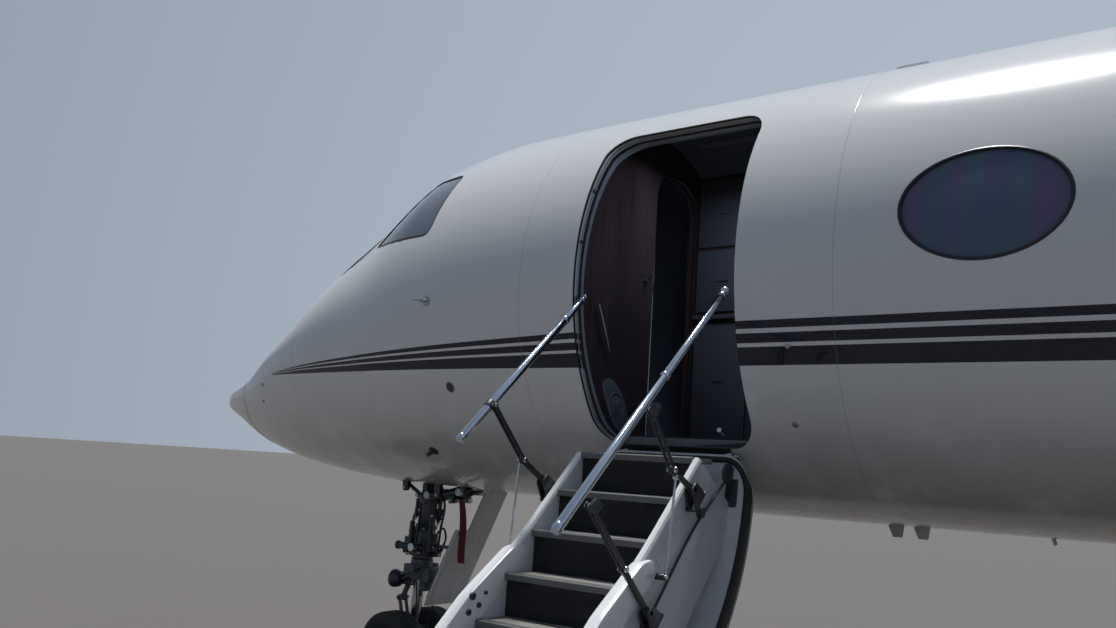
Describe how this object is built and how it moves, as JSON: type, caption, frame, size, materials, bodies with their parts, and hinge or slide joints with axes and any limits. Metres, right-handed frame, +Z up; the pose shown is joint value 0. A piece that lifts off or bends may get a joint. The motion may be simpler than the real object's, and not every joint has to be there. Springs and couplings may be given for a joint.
{
  "type": "business jet",
  "caption": "Twin-engine T-tail business jet parked on its wheels, with its entry door let down as an airstair, oval cabin windows and upturned wing tips.",
  "frame": {"origin": "on the ground under the middle of the overall length, in the plane of symmetry", "axes": "+X aft along the fuselage, so the nose points to -X; +Y to the starboard side; +Z up"},
  "size_m": [26.92, 23.7232, 7.45],
  "materials": {
    "white_paint": "gloss",
    "white_composite": "gloss",
    "cockpit_glass": "polished",
    "cabin_glass": "polished",
    "floor_panel": "matte",
    "entry_wood": "gloss",
    "panel_trim": "matte",
    "seat_leather": "satin",
    "engine_metal": "satin",
    "fan_metal": "satin",
    "gear_steel": "satin",
    "wheel_alloy": "satin",
    "tyre": "matte",
    "step_covering": "matte",
    "polished_rail": "polished"
  },
  "bodies": {
    "airframe": {"radome": "white_paint", "fuselage_front": "white_paint", "fuselage_cabin": "white_paint", "fuselage_tail": "white_paint", "baggage_door": "white_paint", "windshield": "cockpit_glass", "side_window_left": "cockpit_glass", "side_window_right": "cockpit_glass", "cabin_windows_left": "cabin_glass", "cabin_windows_right": "cabin_glass", "cabin_floor": "floor_panel", "entry_furniture": "entry_wood", "instrument_panel": "panel_trim", "pilot_seat": "seat_leather", "copilot_seat": "seat_leather", "belly_fairing": "white_paint", "wing_left": "white_paint", "wing_right": "white_paint", "fin": "white_composite", "tailplane": "white_composite", "nacelle_left": "white_composite", "nacelle_right": "white_composite", "engine_core_left": "engine_metal", "engine_core_right": "engine_metal", "nose_leg": "gear_steel", "nose_gear_door": "white_paint", "main_leg_left": "gear_steel", "main_leg_right": "gear_steel", "main_leg_door_left": "white_paint", "main_leg_door_right": "white_paint"},
    "airstair": {"airstair_door": "white_paint", "airstair_steps": "step_covering"},
    "handrails": {"handrail_forward": "polished_rail", "handrail_aft": "polished_rail"},
    "nose_fork": {"nose_steering": "gear_steel"},
    "nose_wheels": {"nose_rims": "wheel_alloy", "nose_tyre_left": "tyre", "nose_tyre_right": "tyre"},
    "main_wheels_left": {"main_rims_left": "wheel_alloy", "main_tyre_left_inner": "tyre", "main_tyre_left_outer": "tyre"},
    "main_wheels_right": {"main_rims_right": "wheel_alloy", "main_tyre_right_inner": "tyre", "main_tyre_right_outer": "tyre"},
    "fan_left": {"fan_left": "fan_metal"},
    "fan_right": {"fan_right": "fan_metal"},
    "rudder": {"rudder": "white_composite"},
    "aileron_left": {"aileron_left": "white_paint"},
    "aileron_right": {"aileron_right": "white_paint"},
    "elevator_left": {"elevator_left": "white_composite"},
    "elevator_right": {"elevator_right": "white_composite"},
    "flap_left": {"flap_left": "white_paint"},
    "flap_right": {"flap_right": "white_paint"}
  },
  "joints": [
    {"name": "airstair_hinge", "type": "hinge", "parent": "airframe", "child": "airstair", "pos_m": [-8.46, -0.82, 1.72], "axis": [-1, 0, 0], "range_deg": [0, 136]},
    {"name": "handrail_fold", "type": "hinge", "parent": "airstair", "child": "handrails", "pos_m": [-8.46, -1.3399, 1.527], "axis": [1, 0, 0], "range_deg": [0, 35]},
    {"name": "nose_steering", "type": "hinge", "parent": "airframe", "child": "nose_fork", "pos_m": [-11.014, 0, 0.2665], "axis": [0.0689, 0, 0.9976], "range_deg": [-80, 80]},
    {"name": "nose_wheel_spin", "type": "hinge", "parent": "nose_fork", "child": "nose_wheels", "pos_m": [-11.014, 0, 0.2665], "axis": [0, 1, 0], "continuous": true},
    {"name": "main_wheel_left_spin", "type": "hinge", "parent": "airframe", "child": "main_wheels_left", "pos_m": [0.6, -2.085, 0.432], "axis": [0, 1, 0], "continuous": true},
    {"name": "main_wheel_right_spin", "type": "hinge", "parent": "airframe", "child": "main_wheels_right", "pos_m": [0.6, 2.085, 0.432], "axis": [0, 1, 0], "continuous": true},
    {"name": "fan_left_spin", "type": "hinge", "parent": "airframe", "child": "fan_left", "pos_m": [3.89, -2.29, 3.07], "axis": [1, 0, 0], "continuous": true},
    {"name": "fan_right_spin", "type": "hinge", "parent": "airframe", "child": "fan_right", "pos_m": [3.89, 2.29, 3.07], "axis": [1, 0, 0], "continuous": true},
    {"name": "rudder_hinge", "type": "hinge", "parent": "airframe", "child": "rudder", "pos_m": [8.72, 0, 3.83], "axis": [0.6016, 0, 0.7988], "range_deg": [-22, 22]},
    {"name": "aileron_right_hinge", "type": "hinge", "parent": "airframe", "child": "aileron_right", "pos_m": [2.78, 8.15, 2.0471], "axis": [0.319, 0.9465, 0.0496], "range_deg": [-11, 11]},
    {"name": "aileron_left_hinge", "type": "hinge", "parent": "airframe", "child": "aileron_left", "pos_m": [2.78, -8.15, 2.0471], "axis": [-0.319, 0.9465, -0.0496], "range_deg": [-11, 11]},
    {"name": "elevator_right_hinge", "type": "hinge", "parent": "airframe", "child": "elevator_right", "pos_m": [11.42, 0.33, 7.27], "axis": [0.3538, 0.9353, 0], "range_deg": [-24, 13]},
    {"name": "elevator_left_hinge", "type": "hinge", "parent": "airframe", "child": "elevator_left", "pos_m": [11.42, -0.33, 7.27], "axis": [-0.3538, 0.9353, 0], "range_deg": [-24, 13]},
    {"name": "flap_right_pivot", "type": "hinge", "parent": "airframe", "child": "flap_right", "pos_m": [0.93, 1.62, 1.4549], "axis": [0.2617, 0.9638, 0.0505], "range_deg": [0, 39]},
    {"name": "flap_left_pivot", "type": "hinge", "parent": "airframe", "child": "flap_left", "pos_m": [0.93, -1.62, 1.4549], "axis": [-0.2617, 0.9638, -0.0505], "range_deg": [0, 39]}
  ],
  "couplings": [
    {"joint": "handrail_fold", "follows": "airstair_hinge", "ratio": 0.25735},
    {"joint": "aileron_left_hinge", "follows": "aileron_right_hinge", "ratio": -1},
    {"joint": "elevator_left_hinge", "follows": "elevator_right_hinge", "ratio": 1},
    {"joint": "flap_left_pivot", "follows": "flap_right_pivot", "ratio": 1}
  ]
}
